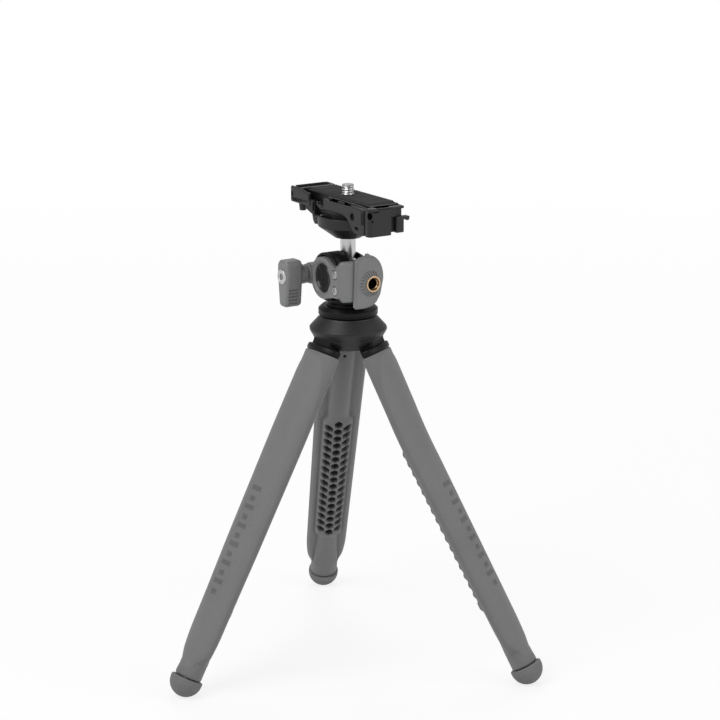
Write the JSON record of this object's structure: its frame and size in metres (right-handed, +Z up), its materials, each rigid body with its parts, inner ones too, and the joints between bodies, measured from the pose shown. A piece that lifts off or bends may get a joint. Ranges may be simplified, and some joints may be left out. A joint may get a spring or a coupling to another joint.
{
  "type": "flexible leg tripod",
  "caption": "Tabletop tripod with bendable rubber legs folding from a hub, a panning ball head with side thread, and a lever-locked quick release bracket with a camera screw.",
  "frame": {"origin": "centre of the bounding box in plan, on the floor plane that the feet stand on; the tripod axis stands near the front of the box, at negative Y and a little left of its middle", "axes": "+Z up along the tripod axis and the camera screw, +Y towards the rear leg, +X to the right when the rear leg points away"},
  "size_m": [0.1938, 0.1744, 0.2558],
  "materials": {
    "black_plastic": "fine matt moulded plastic",
    "nylon": "plain nylon",
    "gloss_black": "polished",
    "grey_paint": "fine textured grey paint",
    "steel": "satin",
    "chrome": "polished",
    "brass": "turned",
    "pad_rubber": "matt",
    "leg_rubber": "soft matt rubber",
    "core_metal": "plain"
  },
  "bodies": {
    "hub": {"hub": "black_plastic", "leg_pins": "steel", "pan_bolt": "steel", "bolt_nut": "steel"},
    "head": {"base_disc": "black_plastic", "ball_socket": "black_plastic", "ball_seat": "nylon", "clamp_band": "grey_paint", "band_screws": "steel", "badge_disc": "gloss_black", "side_plate": "grey_paint", "thread_insert": "brass", "clamp_collar": "grey_paint"},
    "knob": {"knob": "grey_paint", "knob_screw": "steel", "clamp_rod": "steel"},
    "ball": {"ball": "chrome", "stem": "chrome", "stem_screw": "steel"},
    "bracket": {"dish": "black_plastic", "bracket_base": "black_plastic", "left_arm": "black_plastic", "lever_pin": "steel"},
    "lever": {"lever": "black_plastic"},
    "jaw": {"right_jaw": "black_plastic", "guide_rods": "steel"},
    "plate": {"top_plate": "black_plastic", "plate_pad": "pad_rubber"},
    "screw": {"camera_screw": "steel"},
    "leg_a_1": {"leg_a_head": "black_plastic", "leg_a_upper": "leg_rubber", "leg_a_core_upper": "core_metal"},
    "leg_a_2": {"leg_a_middle": "leg_rubber", "leg_a_core_middle": "core_metal"},
    "leg_a_3": {"leg_a_lower": "leg_rubber", "leg_a_core_lower": "core_metal"},
    "leg_a_4": {"leg_a_end": "leg_rubber", "leg_a_core_end": "core_metal", "leg_a_foot": "leg_rubber"},
    "leg_b_1": {"leg_b_head": "black_plastic", "leg_b_upper": "leg_rubber", "leg_b_core_upper": "core_metal"},
    "leg_b_2": {"leg_b_middle": "leg_rubber", "leg_b_core_middle": "core_metal"},
    "leg_b_3": {"leg_b_lower": "leg_rubber", "leg_b_core_lower": "core_metal"},
    "leg_b_4": {"leg_b_end": "leg_rubber", "leg_b_core_end": "core_metal", "leg_b_foot": "leg_rubber"},
    "leg_c_1": {"leg_c_head": "black_plastic", "leg_c_upper": "leg_rubber", "leg_c_core_upper": "core_metal"},
    "leg_c_2": {"leg_c_middle": "leg_rubber", "leg_c_core_middle": "core_metal"},
    "leg_c_3": {"leg_c_lower": "leg_rubber", "leg_c_core_lower": "core_metal"},
    "leg_c_4": {"leg_c_end": "leg_rubber", "leg_c_core_end": "core_metal", "leg_c_foot": "leg_rubber"}
  },
  "joints": [
    {"name": "head_pan", "type": "hinge", "parent": "hub", "child": "head", "pos_m": [0.00066, -0.02449, 0.18753], "axis": [0, 0, 1], "continuous": true},
    {"name": "ball_tilt", "type": "hinge", "parent": "head", "child": "ball", "pos_m": [0.00066, -0.02449, 0.20823], "axis": [0.8926, 0.4509, 0], "range_deg": [-35, 25]},
    {"name": "bracket_turn", "type": "hinge", "parent": "ball", "child": "bracket", "pos_m": [0.00066, -0.02449, 0.23703], "axis": [0, 0, 1], "continuous": true},
    {"name": "knob_turn", "type": "hinge", "parent": "head", "child": "knob", "pos_m": [-0.02351, -0.02101, 0.20823], "axis": [-0.8926, -0.4509, 0], "range_deg": [-90, 90]},
    {"name": "lever_press", "type": "hinge", "parent": "bracket", "child": "lever", "pos_m": [0.00326, -0.04738, 0.24323], "axis": [-0.8926, -0.4509, 0], "range_deg": [0, 8.05]},
    {"name": "jaw_slide", "type": "slide", "parent": "bracket", "child": "jaw", "axis": [0.4509, -0.8926, 0], "range_m": [0, 0.002], "stiffness_N_per_m": 200, "springref_m": -0.01},
    {"name": "plate_slide", "type": "slide", "parent": "bracket", "child": "plate", "axis": [0.8926, 0.4509, 0], "range_m": [0, 0.024]},
    {"name": "screw_turn", "type": "hinge", "parent": "plate", "child": "screw", "pos_m": [0.00066, -0.02449, 0.24953], "axis": [0, 0, 1], "continuous": true},
    {"name": "leg_a_fold", "type": "hinge", "parent": "hub", "child": "leg_a_1", "pos_m": [0.00013, -0.0123, 0.17523], "axis": [0.999, 0.0436, 0], "range_deg": [-26, 20]},
    {"name": "leg_a_bend_1", "type": "hinge", "parent": "leg_a_1", "child": "leg_a_2", "pos_m": [-0.00104, 0.01445, 0.12611], "axis": [-0.999, -0.0436, 0], "range_deg": [-30, 30]},
    {"name": "leg_a_bend_2", "type": "hinge", "parent": "leg_a_2", "child": "leg_a_3", "pos_m": [-0.0017, 0.02958, 0.09834], "axis": [-0.999, -0.0436, 0], "range_deg": [-30, 30]},
    {"name": "leg_a_bend_3", "type": "hinge", "parent": "leg_a_3", "child": "leg_a_4", "pos_m": [-0.0026, 0.05024, 0.06041], "axis": [-0.999, -0.0436, 0], "range_deg": [-30, 30]},
    {"name": "leg_b_fold", "type": "hinge", "parent": "hub", "child": "leg_b_1", "pos_m": [-0.00986, -0.03067, 0.17523], "axis": [-0.506, 0.8625, 0], "range_deg": [-26, 20]},
    {"name": "leg_b_bend_1", "type": "hinge", "parent": "leg_b_1", "child": "leg_b_2", "pos_m": [-0.03296, -0.04422, 0.12611], "axis": [0.506, -0.8625, 0], "range_deg": [-30, 30]},
    {"name": "leg_b_bend_2", "type": "hinge", "parent": "leg_b_2", "child": "leg_b_3", "pos_m": [-0.04602, -0.05188, 0.09834], "axis": [0.506, -0.8625, 0], "range_deg": [-30, 30]},
    {"name": "leg_b_bend_3", "type": "hinge", "parent": "leg_b_3", "child": "leg_b_4", "pos_m": [-0.06386, -0.06234, 0.06041], "axis": [0.506, -0.8625, 0], "range_deg": [-30, 30]},
    {"name": "leg_c_fold", "type": "hinge", "parent": "hub", "child": "leg_c_1", "pos_m": [0.01104, -0.0309, 0.17523], "axis": [-0.5255, -0.8508, 0], "range_deg": [-23.71, 22.29]},
    {"name": "leg_c_bend_1", "type": "hinge", "parent": "leg_c_1", "child": "leg_c_2", "pos_m": [0.03213, -0.04393, 0.12508], "axis": [0.5255, 0.8508, 0], "range_deg": [-26.8, 33.2]},
    {"name": "leg_c_bend_2", "type": "hinge", "parent": "leg_c_2", "child": "leg_c_3", "pos_m": [0.04539, -0.05212, 0.09755], "axis": [0.5255, 0.8508, 0], "range_deg": [-30, 30]},
    {"name": "leg_c_bend_3", "type": "hinge", "parent": "leg_c_3", "child": "leg_c_4", "pos_m": [0.06349, -0.0633, 0.05996], "axis": [0.5255, 0.8508, 0], "range_deg": [-30, 30]}
  ],
  "couplings": [
    {"joint": "lever_press", "follows": "jaw_slide", "rad_per_m": 69.813}
  ]
}
